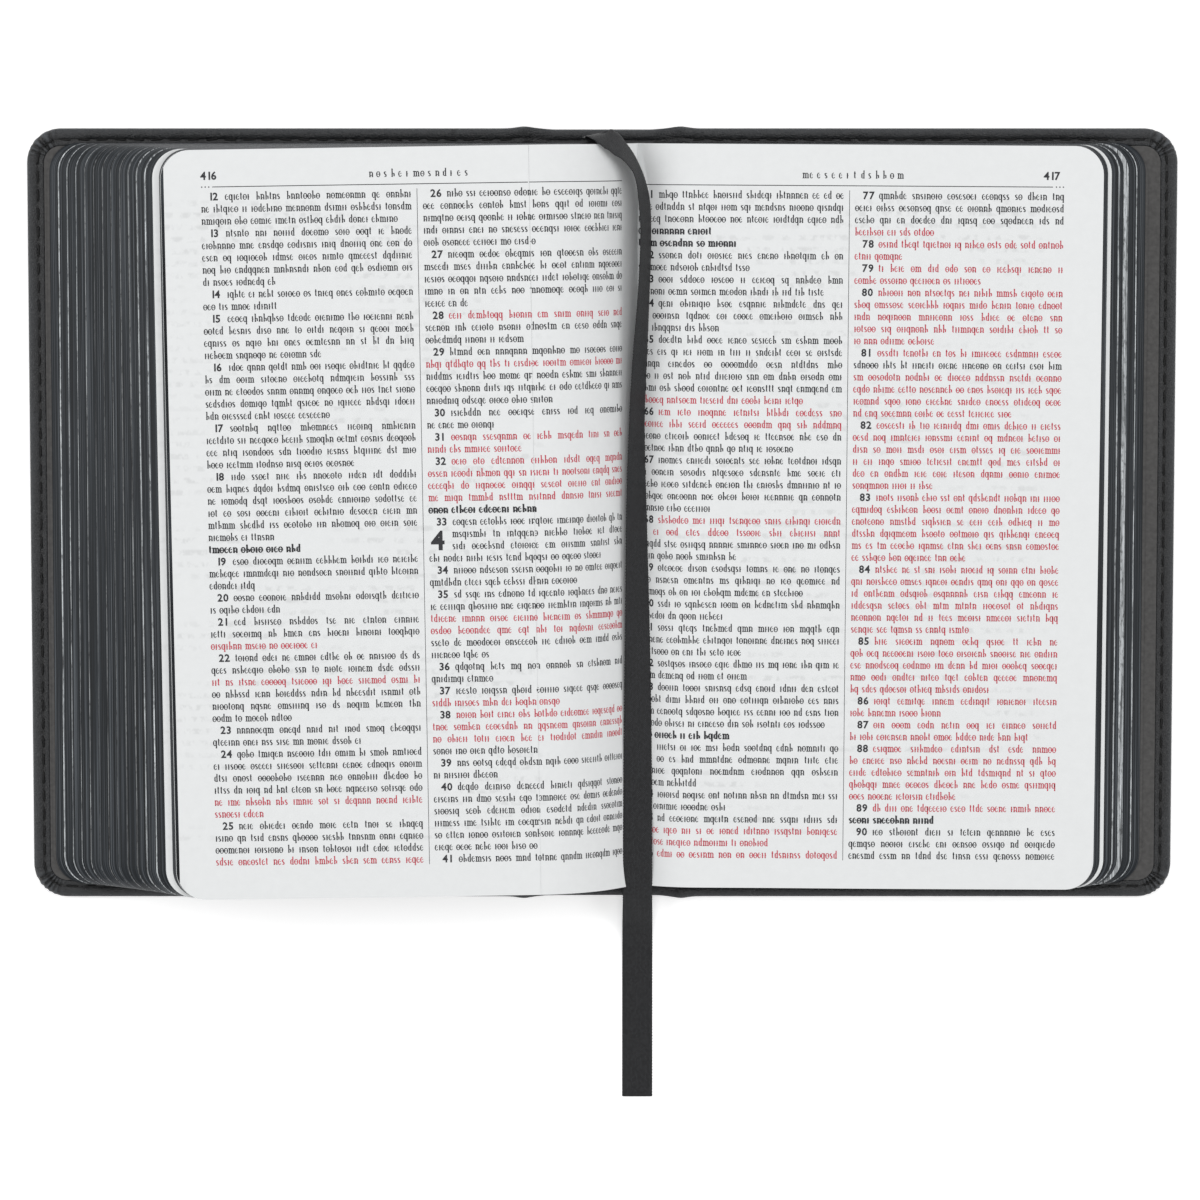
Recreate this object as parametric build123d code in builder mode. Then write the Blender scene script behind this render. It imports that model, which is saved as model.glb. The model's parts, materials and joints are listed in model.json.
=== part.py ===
from build123d import *
import os
from math import pi, tan, radians

os.makedirs("parts", exist_ok=True)

# A thin-leaved book lying open on its back: +X right, +Y to the head, +Z up.
# The origin is under the middle of the spine.

# Case
cover_height = 203.0
panel_width = 134.5  # hinge line to fore-edge
cover_corner = 9.0
leather = 0.5
board = 1.6
pastedown = 0.4
turn_in = 4.5  # leather folded over the edge of the board
groove = 6.0  # hinge line to the edge of the board
hinge_reach = 1.8  # half the width of leather that flexes at a hinge
inlay = 1.0
lining = 0.5

# Book block
square = 5.0  # cover standing past the pages at head and tail
fore_square = 4.0  # cover panel longer than a leaf
page_corner = 7.5
gathering = 1.53  # thickness of one section of leaves
left_count = 13
right_count = 5
flyleaf = 0.25
leaf = 0.08
right_bow = 2.5  # leaf length taken up by the bow beside the gutter

# Trim
stitch_inset = 2.9
stitch_pitch = 4.8
stitch_length = 3.7
stitch_width = 0.6
stitch_height = 0.3
band_radius = 0.8
ribbon_width = 8.0
ribbon_thickness = 0.3

# Clearances
fit = 0.05  # sheet beside or over sheet
closing = 0.4  # left between the two stacks when the book is shut
paper_lift = 0.4  # room for the flyleaf under the first gathering

# Worked out
cover_thickness = leather + board + pastedown
page_height = cover_height - 2 * square
leaf_length = panel_width - fore_square  # root to fore-edge
pitch = gathering + 0.8 * fit
left_stack = paper_lift + left_count * pitch + leaf + fit
right_stack = paper_lift + right_count * pitch
spine_width = left_stack + right_stack + cover_thickness + closing
hinge_x = spine_width / 2
hinge_z = cover_thickness / 2
fore_edge_x = hinge_x + panel_width
bend_x = hinge_x - cover_thickness / 2  # where the leaves leave their bend and lie flat
half_height = cover_height / 2
half_page = page_height / 2
half_bend = 45  # degrees of arc in each half of a bend


def finish(piece, name):
    """Labels a finished piece and writes it to its own file."""
    piece.part.label = name
    export_step(piece.part, f"parts/{name}.step")


def panel_outline(side, outer, inner, inset, corner):
    """Plan of one cover panel's layer: square at the hinge, round at the fore-edge."""
    with Locations((side * (outer + inner) / 2, 0)):
        Rectangle(outer - inner, cover_height - 2 * inset)
    fore = vertices().sort_by(Axis.X, reverse=side > 0)[:2]
    fillet(fore, corner)


def leather_panel(side, name):
    """Cover leather: outer sheet, edge wall and the turned-in rim, round the board's space."""
    with BuildPart() as panel:
        with BuildSketch():
            panel_outline(side, fore_edge_x, hinge_x + hinge_reach, 0, cover_corner)
        extrude(amount=cover_thickness)
        with BuildSketch(Plane.XY.offset(leather)):
            panel_outline(side, fore_edge_x - leather, hinge_x, leather, cover_corner - leather)
        extrude(amount=board, mode=Mode.SUBTRACT)
        with BuildSketch(Plane.XY.offset(leather + board)):
            panel_outline(side, fore_edge_x - turn_in, hinge_x, turn_in, cover_corner - turn_in)
        extrude(amount=pastedown, mode=Mode.SUBTRACT)
    finish(panel, name)


def cover_board(side, name):
    """Stiff board inside the leather, short of the hinge by the groove."""
    inset = leather + fit
    with BuildPart() as panel:
        with BuildSketch(Plane.XY.offset(leather)):
            panel_outline(side, fore_edge_x - inset, hinge_x + groove, inset, cover_corner - inset)
        extrude(amount=board)
    finish(panel, name)


def pasted_endpaper(side, name):
    """Endpaper glued to the inside of the cover, within the leather rim."""
    inset = turn_in + fit
    with BuildPart() as sheet:
        with BuildSketch(Plane.XY.offset(leather + board)):
            panel_outline(
                side, fore_edge_x - inset, hinge_x + hinge_reach, inset, cover_corner - inset
            )
        extrude(amount=pastedown)
    finish(sheet, name)


def free_endpaper(side, bow, name):
    """Flyleaf that lies on the pasted endpaper."""
    with BuildPart() as sheet:
        with BuildSketch(Plane.XY.offset(cover_thickness + fit)):
            outer = bend_x + leaf_length - bow
            inner = hinge_x + hinge_reach + 4 * fit
            with Locations((side * (outer + inner) / 2, 0)):
                Rectangle(outer - inner, page_height)
            fillet(vertices().sort_by(Axis.X, reverse=side > 0)[:2], page_corner)
        extrude(amount=flyleaf)
    finish(sheet, name)


def stitching(side, name):
    """Thread showing on the leather rim: one bead for each stitch round three sides."""
    rim = fore_edge_x - stitch_inset
    end = half_height - stitch_inset
    start = hinge_x + groove
    corner = cover_corner - stitch_inset
    with BuildLine(mode=Mode.PRIVATE) as seam:
        FilletPolyline(
            (side * start, end), (side * rim, end), (side * rim, -end), (side * start, -end),
            radius=corner,
        )
    path = seam.wires()[0]
    count = int(path.length / stitch_pitch)
    places = []
    for number in range(count):
        along = (number + 0.5) / count
        place = path.position_at(along)
        turn = Vector(1, 0, 0).get_signed_angle(path.tangent_at(along), Vector(0, 0, 1))
        places.append(Location((place.X, place.Y, cover_thickness), (0, 0, turn)))
    with BuildPart() as thread:
        with Locations(*places):
            Box(
                stitch_length, stitch_width, stitch_height,
                align=(Align.CENTER, Align.CENTER, Align.MIN),
            )
    finish(thread, name)


def hinge_strip(side, name):
    """Bare leather between a cover panel and the spine, which bends as the cover turns."""
    with BuildPart() as strip:
        with BuildSketch():
            with Locations((side * hinge_x, 0)):
                Rectangle(2 * hinge_reach, cover_height)
        extrude(amount=leather)
    finish(strip, name)


def page_section(side, bottom, top, bow, name):
    """Flat part of one gathering. Leaves higher in the stack spend more length on the bend,
    a quarter circle, so each fore-edge stands back from the one below by a quarter turn's arc."""
    inner = bend_x + fit
    outer = bend_x + leaf_length - bow - (bottom + top) / 2 * pi / 2
    with BuildPart() as section:
        with BuildSketch(Plane.XY.offset(cover_thickness + bottom)):
            with Locations((side * (outer + inner) / 2, 0)):
                Rectangle(outer - inner, page_height)
            fillet(vertices().sort_by(Axis.X, reverse=side > 0)[:2], page_corner)
        extrude(amount=top - bottom)
    finish(section, name)


def ring_slice(side, inner, outer, begin):
    """Side view of half a gathering's bend: a slice of a ring about the line where the leaves
    lie flat, begin being its degrees of arc from the root."""
    start = begin if side < 0 else 180 - begin
    turn = half_bend if side < 0 else -half_bend
    with BuildSketch(Plane.XZ, mode=Mode.PRIVATE) as ring:
        with BuildLine():
            near = CenterArc((side * bend_x, cover_thickness), inner, start, turn)
            far = CenterArc((side * bend_x, cover_thickness), outer, start, turn)
            Line(near @ 0, far @ 0)
            Line(near @ 1, far @ 1)
        make_face()
    return ring.sketch


def page_roots(side, count, name):
    """Glued roots of one side's gatherings, up to half-way round their bends."""
    with BuildPart() as roots:
        for number in range(count):
            inner = paper_lift + number * pitch
            extrude(ring_slice(side, inner, inner + gathering, 0), amount=half_page, both=True)
    finish(roots, name)


def page_bend(side, bottom, name):
    """Second half of one gathering's bend, between its root and its flat part."""
    with BuildPart() as bend:
        outline = ring_slice(side, bottom, bottom + gathering, half_bend)
        extrude(outline, amount=half_page, both=True)
    finish(bend, name)


def spine_end_band(end, name):
    """Wound band across the end of the leaves' roots."""
    y = end * (half_page + band_radius + fit)
    z = leather + inlay + lining + band_radius + fit
    reach = hinge_x - hinge_reach - 1.0
    with BuildPart() as band:
        with BuildSketch(Plane.YZ):
            with Locations((y, z)):
                Circle(band_radius)
        extrude(amount=reach, both=True)
    finish(band, name)


for side, name in ((-1, "front"), (1, "back")):
    leather_panel(side, f"{name}_leather")
    cover_board(side, f"{name}_board")
    pasted_endpaper(side, f"{name}_pastedown")
    free_endpaper(side, right_bow if side > 0 else 0, f"{name}_flyleaf")
    stitching(side, f"{name}_stitching")
    hinge_strip(side, f"{name}_hinge_leather")

for side, count, bow, name in ((-1, left_count, 0, "left"), (1, right_count, right_bow, "right")):
    page_roots(side, count, f"{name}_page_roots")
    for number in range(count):
        bottom = paper_lift + number * pitch
        page_bend(side, bottom, f"{name}_bend_{number + 1:02d}")
        page_section(side, bottom, bottom + gathering, bow, f"{name}_gathering_{number + 1:02d}")

# The uppermost leaf on the left, loose enough to turn
leaf_bottom = paper_lift + left_count * pitch
page_section(-1, leaf_bottom, leaf_bottom + leaf, 0, "turning_leaf")

# Spine: leather folded in at head and tail over a card inlay, then cloth lining and glue
spine_reach = hinge_x - hinge_reach
lining_z = leather + inlay
with BuildPart() as spine_leather:
    Box(
        2 * spine_reach, cover_height, lining_z + lining,
        align=(Align.CENTER, Align.CENTER, Align.MIN),
    )
    with Locations((0, 0, leather)):
        Box(
            2 * spine_reach, cover_height - 2 * leather, inlay,
            align=(Align.CENTER, Align.CENTER, Align.MIN), mode=Mode.SUBTRACT,
        )
    with Locations((0, 0, lining_z)):
        Box(
            2 * spine_reach, cover_height - 2 * turn_in, lining,
            align=(Align.CENTER, Align.CENTER, Align.MIN), mode=Mode.SUBTRACT,
        )
finish(spine_leather, "spine_leather")

with BuildPart() as spine_inlay:
    with Locations((0, 0, leather)):
        Box(
            2 * (spine_reach - 1.0), cover_height - 2 * (leather + fit), inlay,
            align=(Align.CENTER, Align.CENTER, Align.MIN),
        )
finish(spine_inlay, "spine_inlay")

with BuildPart() as spine_lining:
    with Locations((0, 0, lining_z)):
        Box(
            2 * spine_reach, cover_height - 2 * (turn_in + fit), lining,
            align=(Align.CENTER, Align.CENTER, Align.MIN),
        )
finish(spine_lining, "spine_lining")

with BuildPart() as spine_glue:
    with Locations((0, 0, lining_z + lining)):
        Box(
            2 * spine_reach, page_height, cover_thickness - lining_z - lining,
            align=(Align.CENTER, Align.CENTER, Align.MIN),
        )
finish(spine_glue, "spine_glue")

spine_end_band(1, "head_band")
spine_end_band(-1, "tail_band")

# Ribbon marker. Side view (y, z): up from the head of the spine, over the leaves, along the
# gutter, over the tail edge and flat on the table.
ribbon_route = [
    (99.6, 2.4), (100.2, 11.5), (97.5, 19.5), (88.5, 19.6), (74.0, 14.4), (50.0, 12.4),
    (6.0, 12.9), (-40.0, 12.2), (-78.0, 12.8), (-98.5, 11.6), (-110.0, 0.6), (-129.0, 0.2),
    (-155.5, 0.25),
]
# Plan view (x, y) of its middle line
ribbon_plan = [
    (0.4, 103.0), (2.8, 97.5), (8.0, 87.0), (10.8, 70.0), (10.3, 46.0), (9.0, 18.0), (9.3, -30.0),
    (9.2, -90.0), (9.3, -155.5),
]


def corner_radii(points):
    """Each corner's radius: as large as 0.45 of its shorter run allows."""
    spots = [Vector(*p) for p in points]
    radii = []
    for before, at, after in zip(spots, spots[1:], spots[2:]):
        turn = (at - before).get_angle(after - at)
        shorter = min((at - before).length, (after - at).length)
        radii.append(0.45 * shorter / tan(radians(turn) / 2))
    return radii


side_radii = corner_radii(ribbon_route)
plan_radii = corner_radii(ribbon_plan)
print("ribbon side radii", [round(r, 1) for r in side_radii])
print("ribbon plan radii", [round(r, 1) for r in plan_radii])

with BuildPart() as ribbon_marker:
    with BuildSketch(Plane.YZ.offset(-cover_height / 4)):
        with BuildLine():
            side_line = FilletPolyline(*ribbon_route, radius=side_radii)
            offset(amount=ribbon_thickness, side=Side.RIGHT)
        make_face()
    extrude(amount=cover_height / 2)
    with BuildSketch(Plane.XY.offset(-1)):
        with BuildLine():
            FilletPolyline(*ribbon_plan, radius=plan_radii)
            offset(amount=ribbon_width / 2, side=Side.BOTH)
        make_face()
    extrude(amount=40, mode=Mode.INTERSECT)
finish(ribbon_marker, "ribbon_marker")
print("ribbon length", round(side_line.length, 1))
print("spine width", round(spine_width, 2), "stacks", round(left_stack, 2), round(right_stack, 2))
print("bend x", round(bend_x, 3), "hinge x", round(hinge_x, 3), "hinge z", hinge_z)
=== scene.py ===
"""An open thin-paper prayer book: stitched leather case, fanned gatherings of stained leaves,
printed pages and a ribbon marker. Metres, +X to the right, +Y to the head, +Z up."""
import json
import math

import bmesh
import bpy
import numpy as np
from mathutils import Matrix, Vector

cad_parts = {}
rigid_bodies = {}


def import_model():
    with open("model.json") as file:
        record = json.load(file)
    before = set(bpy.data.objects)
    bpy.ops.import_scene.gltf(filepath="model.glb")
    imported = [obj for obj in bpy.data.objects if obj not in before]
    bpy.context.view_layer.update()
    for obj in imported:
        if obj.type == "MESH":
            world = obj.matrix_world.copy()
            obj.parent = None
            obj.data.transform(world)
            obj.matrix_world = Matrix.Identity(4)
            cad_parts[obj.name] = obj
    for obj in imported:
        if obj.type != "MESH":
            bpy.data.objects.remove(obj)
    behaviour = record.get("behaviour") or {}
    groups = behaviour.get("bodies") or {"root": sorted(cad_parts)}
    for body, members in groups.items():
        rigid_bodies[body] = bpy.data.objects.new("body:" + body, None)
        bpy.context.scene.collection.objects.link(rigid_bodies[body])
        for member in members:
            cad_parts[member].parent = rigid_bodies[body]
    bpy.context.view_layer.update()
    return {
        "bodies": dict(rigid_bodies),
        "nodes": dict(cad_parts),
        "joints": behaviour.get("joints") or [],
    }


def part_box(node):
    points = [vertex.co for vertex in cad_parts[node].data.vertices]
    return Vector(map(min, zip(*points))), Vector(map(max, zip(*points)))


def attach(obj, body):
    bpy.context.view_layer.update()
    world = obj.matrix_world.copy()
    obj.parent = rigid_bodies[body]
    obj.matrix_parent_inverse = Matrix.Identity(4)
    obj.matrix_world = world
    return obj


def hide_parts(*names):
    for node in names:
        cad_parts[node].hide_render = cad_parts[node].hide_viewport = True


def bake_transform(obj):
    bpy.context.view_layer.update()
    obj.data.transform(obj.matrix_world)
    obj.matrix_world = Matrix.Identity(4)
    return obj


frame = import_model()

MM = 0.001
rng = np.random.default_rng(7)


# ---------------------------------------------------------------- sizes taken from the frame
def joint_place(name):
    """Where a joint stands at rest."""
    return next(np.array(j["pos_m"], float) for j in frame["joints"] if j["name"] == name)


front_low, front_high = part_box("front_leather")
COVER_TOP = front_high.z
HALF_COVER = front_high.y
FORE_EDGE = -front_low.x
HINGE = -joint_place("front_hinge")[0]
CORNER = 9.0 * MM
LEFT_COUNT = sum(n.startswith("left_gathering") for n in frame["nodes"])
RIGHT_COUNT = sum(n.startswith("right_gathering") for n in frame["nodes"])
LEAF_PROUD = 1.2 * MM  # how far the leaves stand past their plain solids at head and tail
HALF_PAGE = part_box("left_gathering_01")[1].y + LEAF_PROUD
PAGE_CORNER = 7.5 * MM
BEND = -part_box("left_gathering_01")[1].x  # where the lowest leaves begin to lie flat
GUTTER_X = 9.3 * MM
GUTTER_LIFT = 2.0 * MM
PAGE_SPAN = 133.0 * MM  # width of a page along its surface


# ---------------------------------------------------------------- mesh helpers
def new_piece(name, points, faces, materials, slots=None):
    """Puts points and smooth faces into a new object that stands at the origin."""
    mesh = bpy.data.meshes.new(name)
    mesh.from_pydata(np.asarray(points).tolist(), [], np.asarray(faces).tolist())
    for material in materials:
        mesh.materials.append(material)
    if slots is not None:
        mesh.polygons.foreach_set("material_index", np.asarray(slots, np.int32))
    mesh.polygons.foreach_set("use_smooth", np.full(len(mesh.polygons), True))
    mesh.update()
    piece = bpy.data.objects.new(name, mesh)
    bpy.context.scene.collection.objects.link(piece)
    return piece


def grid_faces(rows, columns, first=0, flip=False):
    """Four-cornered faces of a grid of rows x columns points numbered from first."""
    r, c = np.meshgrid(np.arange(rows - 1), np.arange(columns - 1), indexing="ij")
    a = (first + r * columns + c).ravel()
    quads = np.stack([a, a + columns, a + columns + 1, a + 1], axis=1)
    return quads[:, ::-1] if flip else quads


def merge_points(piece, distance=2e-6):
    """Joins points that coincide and turns every face outward."""
    work = bmesh.new()
    work.from_mesh(piece.data)
    bmesh.ops.remove_doubles(work, verts=work.verts, dist=distance)
    bmesh.ops.dissolve_degenerate(work, edges=work.edges, dist=distance / 4)
    bmesh.ops.recalc_face_normals(work, faces=work.faces)
    work.to_mesh(piece.data)
    work.free()
    return piece


def smooth_step(x, start, end):
    """0 before start, 1 after end and a smooth ramp between."""
    t = np.clip((x - start) / (end - start), 0, 1)
    return t * t * (3 - 2 * t)


# ---------------------------------------------------------------- camera, light and floor
def stand_camera():
    """A long lens above the head of the book, tipped a little toward the tail. The view is as wide
    as 0.3168 m where it meets the table."""
    distance, tip, view_width = 1.5, math.radians(5.84), 0.3168
    target = np.array([-0.6, -22.65, 0.0]) * MM
    data = bpy.data.cameras.new("camera")
    data.sensor_width = 36.0
    data.lens = data.sensor_width * distance / view_width
    camera = bpy.data.objects.new("camera", data)
    camera.location = target + distance * np.array([0, math.sin(tip), math.cos(tip)])
    camera.rotation_euler = (-tip, 0, 0)
    bpy.context.scene.collection.objects.link(camera)
    bpy.context.scene.camera = camera


def soft_lamp(name, place, size, power):
    """A large square lamp that faces the middle of the book."""
    data = bpy.data.lights.new(name, "AREA")
    data.size, data.energy = size, power
    lamp = bpy.data.objects.new(name, data)
    lamp.location = place
    lamp.rotation_mode = "QUATERNION"
    lamp.rotation_quaternion = (-Vector(place)).to_track_quat("-Z", "Y")
    bpy.context.scene.collection.objects.link(lamp)


def light_studio():
    """White surroundings with a broad soft lamp on each of the four sides."""
    world = bpy.data.worlds.new("studio")
    world.use_nodes = True
    sky = world.node_tree.nodes["Background"]
    sky.inputs["Color"].default_value = (1, 1, 1, 1)
    sky.inputs["Strength"].default_value = 0.36
    bpy.context.scene.world = world
    soft_lamp("head_lamp", (0.1, 1.0, 1.2), 1.1, 10.0)
    soft_lamp("tail_lamp", (-0.1, -1.1, 1.2), 1.1, 7.5)
    soft_lamp("left_lamp", (-1.3, 0.2, 0.9), 0.9, 9.0)
    soft_lamp("right_lamp", (1.3, 0.1, 1.0), 0.9, 7.5)
    bpy.context.scene.view_settings.view_transform = "Standard"


def floor_finish():
    """Matte white board with a faint glow of its own, which lifts the book's soft shadow."""
    f = Finish("floor", (0.95, 0.95, 0.95), 0.9)
    f.shader.inputs["Emission Color"].default_value = (1, 1, 1, 1)
    f.shader.inputs["Emission Strength"].default_value = 0.3
    return f.material


def lay_floor(material):
    """A square table top, four metres wide."""
    corners = [(-2, -2, 0), (2, -2, 0), (2, 2, 0), (-2, 2, 0)]
    new_piece("floor", corners, [(0, 1, 2, 3)], [material])


# ---------------------------------------------------------------- materials
class Finish:
    """A node material under construction, with one Principled shader."""

    def __init__(self, name, color, roughness):
        self.material = bpy.data.materials.new(name)
        self.material.use_nodes = True
        self.tree = self.material.node_tree
        self.shader = self.tree.nodes["Principled BSDF"]
        self.shader.inputs["Base Color"].default_value = (*color, 1)
        self.shader.inputs["Roughness"].default_value = roughness
        self.material.diffuse_color = (*color, 1)

    def node(self, kind, **settings):
        """New node; each setting is the value of a socket or, where there is none, an option."""
        made = self.tree.nodes.new(kind)
        for key, value in settings.items():
            if key in made.inputs:
                made.inputs[key].default_value = value
            else:
                setattr(made, key, value)
        return made

    def join(self, source, output, target, entry):
        """Links one node's output to another's input, and returns the second node."""
        self.tree.links.new(source.outputs[output], target.inputs[entry])
        return target

    def coordinates(self, stretch=(1, 1, 1), layer=None):
        """Object coordinates, or a UV map where one is named, stretched along each axis."""
        if layer:
            source, out = self.node("ShaderNodeUVMap", uv_map=layer), "UV"
        else:
            source, out = self.node("ShaderNodeTexCoord"), "Object"
        mapping = self.node("ShaderNodeMapping")
        mapping.inputs["Scale"].default_value = stretch
        return self.join(source, out, mapping, "Vector")

    def attribute(self, name):
        """A value that the mesh carries at each point, read from its Fac output."""
        return self.node("ShaderNodeAttribute", attribute_name=name)

    def noise(self, place, scale, detail=2.0, roughness=0.5):
        """Soft irregular cloud; the scale counts its lumps in a metre."""
        made = self.node("ShaderNodeTexNoise", Scale=scale, Detail=detail, Roughness=roughness)
        return self.join(place, "Vector", made, "Vector")

    def cell_walls(self, place, scale):
        """Distance to the nearest wall between small irregular cells."""
        made = self.node("ShaderNodeTexVoronoi", feature="DISTANCE_TO_EDGE", Scale=scale)
        return self.join(place, "Vector", made, "Vector")

    def ramp(self, source, output, *stops):
        """Colour ramp from (position, colour) stops; a colour may be one grey value."""
        made = self.node("ShaderNodeValToRGB")
        line = made.color_ramp
        while len(line.elements) < len(stops):
            line.elements.new(0.5)
        for element, (position, color) in zip(line.elements, stops):
            element.position = position
            element.color = (*color, 1) if isinstance(color, tuple) else (color, color, color, 1)
        return self.join(source, output, made, "Fac")

    def math(self, operation, a, b=None):
        """Math node; a and b are numbers or (node, output) pairs."""
        made = self.node("ShaderNodeMath", operation=operation)
        for entry, value in ((0, a), (1, b)):
            if isinstance(value, tuple):
                self.join(value[0], value[1], made, entry)
            elif value is not None:
                made.inputs[entry].default_value = value
        return made

    def mix(self, amount, first, second, kind="MIX"):
        """Colour mix; each argument is a colour, a number or a (node, output) pair."""
        made = self.node("ShaderNodeMix", data_type="RGBA", blend_type=kind)
        for entry, value in ((0, amount), (6, first), (7, second)):
            if isinstance(value, tuple) and hasattr(value[0], "outputs"):
                self.tree.links.new(value[0].outputs[value[1]], made.inputs[entry])
            elif entry:
                made.inputs[entry].default_value = (*value, 1)
            else:
                made.inputs[entry].default_value = value
        return made

    def color_from(self, source, output):
        """Lets a node give the surface its colour."""
        self.join(source, output, self.shader, "Base Color")

    def bump(self, source, output, distance, strength=1.0, under=None):
        """Relief of this depth in metres, on top of another relief where one is given."""
        made = self.node("ShaderNodeBump", Distance=distance, Strength=strength)
        self.join(source, output, made, "Height")
        if under is not None:
            self.join(under, "Normal", made, "Normal")
        self.join(made, "Normal", self.shader, "Normal")
        return made


def leather_finish():
    """Charcoal cover leather: pebbled grain of small cells, fine creases, cloudy colour and lint,
    with painted shade in the corner pleats' troughs, the stitch groove and the turn-in seam, and a
    lightening of pleat crests and the rim's edge that is partly wear and partly painted highlight.
    """
    f = Finish("leather", (0.009, 0.0095, 0.0105), 0.4)
    f.shader.inputs["Specular IOR Level"].default_value = 0.45
    place = f.coordinates()
    cloud = f.noise(place, 70, 5, 0.6)
    color = f.ramp(cloud, "Fac", (0.32, (0.007, 0.0076, 0.0086)), (0.68, (0.014, 0.0152, 0.0172)))
    lint = f.noise(place, 1900, 2, 0.6)
    lift = f.ramp(lint, "Fac", (0.64, 0.0), (0.74, 0.55))
    tone = f.mix((lift, "Color"), (color, "Color"), (0.07, 0.073, 0.078))
    # Painted light from a point attribute of the case: where it is near 0, on pleat crests and the
    # rim's edge, the colour is lightened, partly as wear and partly as painted highlight; where it is
    # near 1, in pleat troughs, the stitch groove and the turn-in seam, the colour is darkened almost
    # to black as painted shade.
    fold = f.attribute("fold")
    worn = f.ramp(fold, "Fac", (0.0, 1.0), (0.5, 0.0))
    painted_crease_shade = f.ramp(fold, "Fac", (0.5, 0.0), (1.0, 0.95))
    lighter = f.mix((worn, "Color"), (tone, 2), (0.062, 0.068, 0.076))
    darker = f.mix((painted_crease_shade, "Color"), (lighter, 2), (0.001, 0.001, 0.0012))
    f.color_from(darker, 2)
    gloss = f.ramp(cloud, "Fac", (0.3, 0.34), (0.72, 0.46))
    f.join(gloss, "Color", f.shader, "Roughness")
    pebble = f.cell_walls(place, 1500)
    pebble_soft = f.ramp(pebble, "Distance", (0.0, 0.0), (0.28, 1.0))
    crease = f.noise(place, 300, 6, 0.7)
    first = f.bump(crease, "Fac", 0.0005, 0.9)
    f.bump(pebble_soft, "Color", 0.00008, 0.9, first)
    return f.material


def paper_finish(name, color, ghost=0.0):
    """Thin paper: faint fibre mottling and, where printed, patches of grey lines that show through
    from the other side, between the margins."""
    f = Finish(name, color, 0.72)
    place = f.coordinates()
    fibre = f.noise(place, 420, 5, 0.7)
    low = tuple(0.965 * c for c in color)
    tone = f.ramp(fibre, "Fac", (0.3, low), (0.7, color))
    out, entry = tone, "Color"
    if ghost:
        sheet = f.coordinates((1, 1, 1), "sheet")
        words = f.coordinates((450, 330, 1), "sheet")
        line_pitch = 3.12 * MM
        blot = f.noise(words, 1.0, 3, 0.6)
        word = f.ramp(blot, "Fac", (0.47, 0.0), (0.6, 1.0))
        split = f.node("ShaderNodeSeparateXYZ")
        f.join(sheet, "Vector", split, "Vector")
        row = f.math("FRACT", (f.math("MULTIPLY", (split, "Y"), 1 / line_pitch), 0))
        band = f.ramp(row, 0, (0.18, 0.0), (0.34, 1.0), (0.62, 1.0), (0.8, 0.0))
        from_spine, from_middle = f.math("ABSOLUTE", (split, "X")), f.math("ABSOLUTE", (split, "Y"))
        across = f.ramp(from_spine, 0, (0.012, 0.0), (0.02, 1.0), (0.112, 1.0), (0.116, 0.0))
        along = f.ramp(from_middle, 0, (0.082, 1.0), (0.087, 0.0))
        cloud = f.noise(f.coordinates((30, 60, 1), "sheet"), 1.0, 1)
        patch = f.ramp(cloud, "Fac", (0.42, 0.0), (0.58, 1.0))
        marks = f.math("MULTIPLY", (word, "Color"), (band, "Color"))
        columns = f.math("MULTIPLY", (across, "Color"), (along, "Color"))
        patches = f.math("MULTIPLY", (columns, 0), (patch, "Color"))
        amount = f.math("MULTIPLY", (f.math("MULTIPLY", (marks, 0), (patches, 0)), 0), ghost)
        shown = f.mix((amount, 0), (tone, "Color"), tuple(0.72 * c for c in color))
        out, entry = shown, 2
    f.color_from(out, entry)
    f.bump(fibre, "Fac", 0.00002, 0.5)
    return f.material


def stained_edge_finish():
    """Blue-black stained edge: hairlines of single leaves, some of them catching the light."""
    f = Finish("stained_edge", (0.02, 0.024, 0.028), 0.5)
    f.shader.inputs["Specular IOR Level"].default_value = 0.25
    level = f.attribute("leaf_level")
    place = f.coordinates()
    split = f.node("ShaderNodeSeparateXYZ")
    f.join(place, "Vector", split, "Vector")
    along = f.node("ShaderNodeCombineXYZ")
    f.join(f.math("MULTIPLY", (level, "Fac"), 5200.0), 0, along, "X")
    f.join(f.math("MULTIPLY", (split, "Y"), 9.0), 0, along, "Y")
    hair = f.node("ShaderNodeTexNoise", Scale=1.0, Detail=3.0, Roughness=0.6)
    f.join(along, "Vector", hair, "Vector")
    tone = f.ramp(
        hair, "Fac", (0.40, (0.003, 0.0045, 0.006)), (0.52, (0.011, 0.014, 0.018)),
        (0.66, (0.075, 0.085, 0.095)),
    )
    f.color_from(tone, "Color")
    f.bump(hair, "Fac", 0.00012, 0.7)
    return f.material


def deckle_finish():
    """Narrow ledges between gatherings: torn white fibre in long streaks, broken up by stain, and
    dimmer in the middle of the thicker stack."""
    f = Finish("deckle", (0.3, 0.31, 0.32), 0.7)
    streak = f.noise(f.coordinates((1, 0.012, 1)), 3800, 3, 0.6)
    fleck = f.noise(f.coordinates((1, 0.3, 1)), 1500, 3, 0.7)
    bright = f.ramp(streak, "Fac", (0.36, (0.03, 0.034, 0.038)), (0.58, (0.60, 0.63, 0.65)))
    worn = f.ramp(fleck, "Fac", (0.34, 0.35), (0.5, 1.0))
    tone = f.mix(1.0, (bright, "Color"), (worn, "Color"), "MULTIPLY")
    level = f.attribute("leaf_level")
    thickest = 21 * MM
    share = f.math("MULTIPLY", (level, "Fac"), 1 / thickest)
    # Ledges towards the middle of the thicker stack are made dimmer, by their level alone.
    middle_dimming = f.ramp(share, 0, (0.0, 1.0), (0.24, 0.9), (0.36, 0.3), (0.68, 0.3), (0.8, 1.0))
    stained = f.mix(1.0, (tone, 2), (middle_dimming, "Color"), "MULTIPLY")
    f.color_from(stained, 2)
    return f.material


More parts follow.
